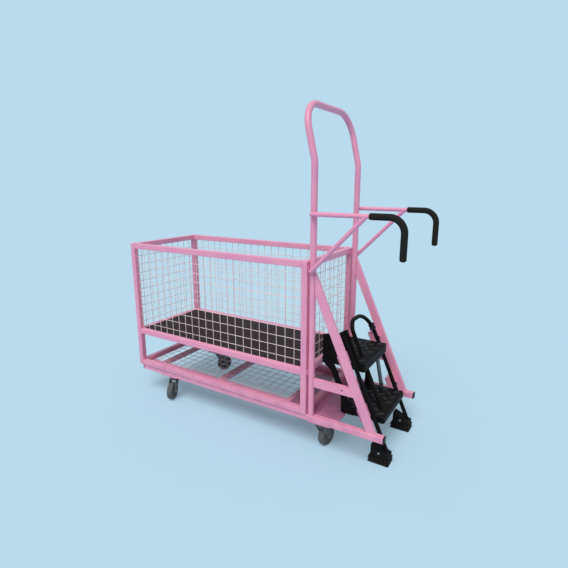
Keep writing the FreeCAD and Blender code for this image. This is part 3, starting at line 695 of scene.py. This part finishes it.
def welds():
    """Beads round the ends of the tubes that are welded to their neighbours."""
    work = bmesh.new()
    tubes = ("cage_bottom_rails", "cage_mid_rails", "cage_top_rails", "base_cross_members",
             "floor_bearers")
    for node in tubes:
        for points in solids(node):
            end_beads(work, points)
    for node in ("left_diagonal", "right_diagonal"):
        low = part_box(node)[0]
        points = [v.co for v in NODES[node].data.vertices]
        near, far = extent([p for p in points if p.z < low.z + TOUCH])
        loop_bead(work, [near, Vector((far.x, near.y, near.z)), far, Vector((near.x, far.y, near.z))])
        near, far = extent([p for p in points if p.x < low.x + TOUCH])
        back = near.x - WELD_BACK
        for y in (near.y, far.y):
            bead(work, Vector((back, y, near.z)), Vector((back, y, far.z)))
    for node in ("left_tie_bar", "right_tie_bar"):
        low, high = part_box(node)
        back = low.x - WELD_BACK
        top_x = high.x - (high.z - low.z) * SLOPE_TAN
        for y in (low.y, high.y):
            bead(work, Vector((back, y, low.z)), Vector((back, y, high.z)))
            bead(work, Vector((high.x, y, low.z)), Vector((top_x, y, high.z)))
    piece("weld_beads", work, body="frame", slot="pink_paint")


# Ladder

def stringer(z, side):
    """Centre of a stringer at a height."""
    return Vector((STRINGER_FOOT - z * SLOPE_TAN, side * STRINGER_Y, z))


def ring_bead(work, centre):
    """Adds a level weld bead round a tube on the ladder's slope."""
    path = []
    for k in range(RING_STEPS + 1):
        turn = 2 * math.pi * k / RING_STEPS
        x = STRINGER_RADIUS / SLOPE_UP.z * math.cos(turn)
        path.append(centre + Vector((x, STRINGER_RADIUS * math.sin(turn), 0)))
    radii = [BEAD * RNG.uniform(RING_LEAST, BEAD_MOST) for _ in path]
    radii[-1] = radii[0]
    tube(work, path, radii, BEAD_SIDES)


def ladder_tubes():
    """Left-hand stringer with a domed top, and the right-hand one bent over into the hand hoop."""
    work = bmesh.new()
    head = stringer(STUB_TOP, -1)
    dome, dome_radii = domed_end(head, SLOPE_UP, STRINGER_RADIUS, STUB_DOME, STUB_DOME_STEPS)
    tube(work, [stringer(FOOT_SOCKET, -1)] + dome, [STRINGER_RADIUS] + dome_radii)
    top = LADDER_TOP - STRINGER_RADIUS
    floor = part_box("lower_tread")[1].z
    inwards = Vector((0, -HAND_HOOP, 0))
    corners = [stringer(FOOT_SOCKET, 1), stringer(top, 1), stringer(top, 1) + inwards]
    corners.append(stringer(floor, 1) + inwards)
    tube(work, route(corners, (OUTER_BEND, INNER_BEND)), STRINGER_RADIUS)
    work.verts.ensure_lookup_table()
    for vert in work.verts[-ROUND_SIDES:]:
        vert.co += SLOPE_UP * ((floor - vert.co.z) / SLOPE_UP.z)
    for node in ("upper_tread", "lower_tread"):
        ring_bead(work, stringer(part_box(node)[1].z, 1) + inwards)
    piece("ladder_frame_look", work, "ladder_frame")


def collars():
    """Clamp on the outer bend of the hand hoop, with a knob on each side."""
    inwards = Vector((0, -1, 0))
    centre = stringer(LADDER_TOP - STRINGER_RADIUS, 1) + (inwards - SLOPE_UP) * OUTER_BEND
    spoke = SLOPE_UP * math.sin(COLLAR_TURN) - inwards * math.cos(COLLAR_TURN)
    along = SLOPE_UP * math.cos(COLLAR_TURN) + inwards * math.sin(COLLAR_TURN)
    middle = centre + spoke * OUTER_BEND
    work = bmesh.new()
    path = [middle + along * place for place, _ in COLLAR_PROFILE]
    tube(work, path, [STRINGER_RADIUS + wall for _, wall in COLLAR_PROFILE])
    for side in (-1, 1):
        path = [middle + spoke * side * distance for distance, _ in KNOB_PROFILE]
        tube(work, path, [radius for _, radius in KNOB_PROFILE], KNOB_SIDES)
    piece("ladder_collars_look", work, "ladder_collars")


def tread_pad(work, centre, along, across):
    """Adds one raised oval pad of a chequered tread."""
    rings = []
    for share, level in PAD_RINGS:
        place = centre + Vector((0, 0, level))
        length = along * (PAD_LENGTH / 2 * share)
        width = across * (PAD_WIDTH / 2 * share)
        rings.append(ring(work, place, length, width, PAD_SIDES))
    skin(work, rings)
    work.faces.new(rings[-1])
    work.faces.new(list(reversed(rings[0])))


def tread_pads(node):
    """Pads of a tread, which lean left and right by turns and leave room for the hoop's inner leg."""
    low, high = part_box(node)
    middle = (low + high) / 2
    leg = stringer(high.z, 1) - Vector((0, HAND_HOOP, 0))
    room = (high - low) / 2 - Vector((PAD_MARGIN, PAD_MARGIN + NOSE_WING, 0))
    lean_left = Vector((1, 1, 0)).normalized()
    lean_right = Vector((1, -1, 0)).normalized()
    pads = bmesh.new()
    for row in range(-PAD_ROWS, PAD_ROWS + 1):
        along, across = (lean_right, lean_left) if row % 2 else (lean_left, lean_right)
        for column in range(-PAD_COLUMNS, PAD_COLUMNS + 1):
            if (row + column) % 2:
                continue
            offset = Vector(((column + 0.5) * PAD_PITCH / 2, row * PAD_PITCH / 2, 0))
            centre = Vector((middle.x, middle.y, high.z)) + offset
            inside = abs(offset.x) <= room.x and abs(offset.y) <= room.y
            if inside and (centre - leg).length >= PAD_LEG_GAP:
                tread_pad(pads, centre, along, across)
    return pads


def treads():
    """Treads with rounded edges, and the pads on them."""
    for node in ("upper_tread", "lower_tread"):
        piece(node + "_look", dressed(node, TREAD_EDGE), node)
        # The pads get the paint that carries painted highlight and wear
        piece(node + "_pads", tread_pads(node), body="ladder", slot="black_paint", look=PAD_WEAR_AND_HIGHLIGHT)


def ladder_pieces():
    """Links, strut, bolts, shoes and guide lugs with rounded edges."""
    for node, edge in LADDER_EDGES.items():
        piece(node + "_look", dressed(node, edge), node, sharp=35.0)


def shoe_bolt_ends():
    """Bolt ends on the inner faces of the shoes, opposite the heads."""
    work = bmesh.new()
    for points in solids("foot_bolts"):
        low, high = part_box("left_foot" if points[0].y < 0 else "right_foot")
        rounded_hull(work, [Vector((p.x, low.y + high.y - p.y, p.z)) for p in points], PLATE_EDGE)
    piece("foot_bolt_ends", work, body="ladder", slot="zinc_steel")


# Casters

def wheel(place):
    """Grooved tyre, hub with recessed faces, and the fork that holds them."""
    joint = JOINTS[place + "_roll"]
    axis = Vector(joint["axis"]).normalized()
    centre = Vector(joint["pos_m"])
    # The tyre's half outline starts on the centre plane, so that point isn't mirrored
    outlines = {
        "_tyre": [(-p, r) for p, r in reversed(TYRE_HALF[1:])] + list(TYRE_HALF),
        "_wheel_hub": [(-p, r) for p, r in reversed(HUB_HALF)] + list(HUB_HALF),
    }
    for name, outline in outlines.items():
        work = bmesh.new()
        lathe(work, outline, centre, axis)
        piece(place + name + "_look", work, place + name, sharp=50.0)
    piece(place + "_fork_look", dressed(place + "_fork", FORK_EDGE), place + "_fork", sharp=35.0)


# Stage

def camera():
    """Camera that stands where the photograph was taken from."""
    data = bpy.data.cameras.new("camera")
    data.lens = CAMERA_LENS
    data.sensor_width = CAMERA_SENSOR
    data.sensor_fit = "HORIZONTAL"
    data.clip_end = CAMERA_REACH
    eye = bpy.data.objects.new("camera", data)
    bpy.context.scene.collection.objects.link(eye)
    up = CAMERA_RIGHT.cross(CAMERA_FORWARD)
    turn = Matrix((CAMERA_RIGHT, up, -CAMERA_FORWARD)).transposed()
    eye.matrix_world = Matrix.Translation(CAMERA_PLACE) @ turn.to_4x4()
    bpy.context.scene.camera = eye


def lamps():
    """Even white light from all round, a soft sun, and the background colour where it is seen."""
    world = bpy.data.worlds.new("studio")
    world.use_nodes = True
    bpy.context.scene.world = world
    tree = world.node_tree
    sky = tree.nodes["Background"]
    sky.inputs["Color"].default_value = (1.0, 1.0, 1.0, 1.0)
    sky.inputs["Strength"].default_value = WORLD_LEVEL
    seen = tree.nodes.new("ShaderNodeBackground")
    seen.inputs["Color"].default_value = BACKGROUND
    path = tree.nodes.new("ShaderNodeLightPath")
    choose = tree.nodes.new("ShaderNodeMixShader")
    shown = path.outputs["Is Camera Ray"]
    for kind in ("Is Glossy Ray", "Is Transmission Ray"):
        either = tree.nodes.new("ShaderNodeMath")
        either.operation = "MAXIMUM"
        tree.links.new(shown, either.inputs[0])
        tree.links.new(path.outputs[kind], either.inputs[1])
        shown = either.outputs["Value"]
    tree.links.new(shown, choose.inputs["Fac"])
    tree.links.new(sky.outputs["Background"], choose.inputs[1])
    tree.links.new(seen.outputs["Background"], choose.inputs[2])
    tree.links.new(choose.outputs["Shader"], tree.nodes["World Output"].inputs["Surface"])
    sun = bpy.data.lights.new("key", "SUN")
    sun.energy = SUN_LEVEL * math.pi / -SUN_PATH.normalized().z
    sun.angle = SUN_SPREAD
    lamp = bpy.data.objects.new("key", sun)
    lamp.rotation_euler = SUN_PATH.to_track_quat("-Z", "Y").to_euler()
    bpy.context.scene.collection.objects.link(lamp)


def studio_floor():
    """Plain floor that takes the shadow and shows a share of its own colour to the camera."""
    work = bmesh.new()
    bmesh.ops.create_grid(work, x_segments=1, y_segments=1, size=FLOOR_REACH)
    mesh = bpy.data.meshes.new("studio_floor")
    work.to_mesh(mesh)
    work.free()
    floor = bpy.data.objects.new("studio_floor", mesh)
    bpy.context.scene.collection.objects.link(floor)
    surface = Surface("studio_floor")
    surface.set("Base Color", BACKGROUND)
    surface.set("Roughness", 1.0)
    surface.set("Specular IOR Level", 0.0)
    glow = surface.add("ShaderNodeEmission")
    glow.inputs["Color"].default_value = BACKGROUND
    path = surface.add("ShaderNodeLightPath")
    blend = surface.add("ShaderNodeMixShader")
    surface.link(surface.multiply(path.outputs["Is Camera Ray"], FLOOR_GLOW), blend.inputs["Fac"])
    surface.link(surface.shader.outputs["BSDF"], blend.inputs[1])
    surface.link(glow.outputs["Emission"], blend.inputs[2])
    surface.link(blend.outputs["Shader"], surface.tree.nodes["Material Output"].inputs["Surface"])
    mesh.materials.append(surface.material)


def cad_looks():
    """Gives every solid the material of its slot."""
    for name, thing in NODES.items():
        thing.data.materials.clear()
        thing.data.materials.append(SLOT_LOOKS[NODE_SLOT[name]])


cad_looks()
mesh_panels()
push_hoop()
handles()
flat_pieces()
welds()
ladder_tubes()
collars()
treads()
ladder_pieces()
shoe_bolt_ends()
for place in ("front_left", "front_right", "rear_left", "rear_right"):
    wheel(place)
studio_floor()
lamps()
camera()
bpy.context.scene.view_settings.view_transform = "Standard"
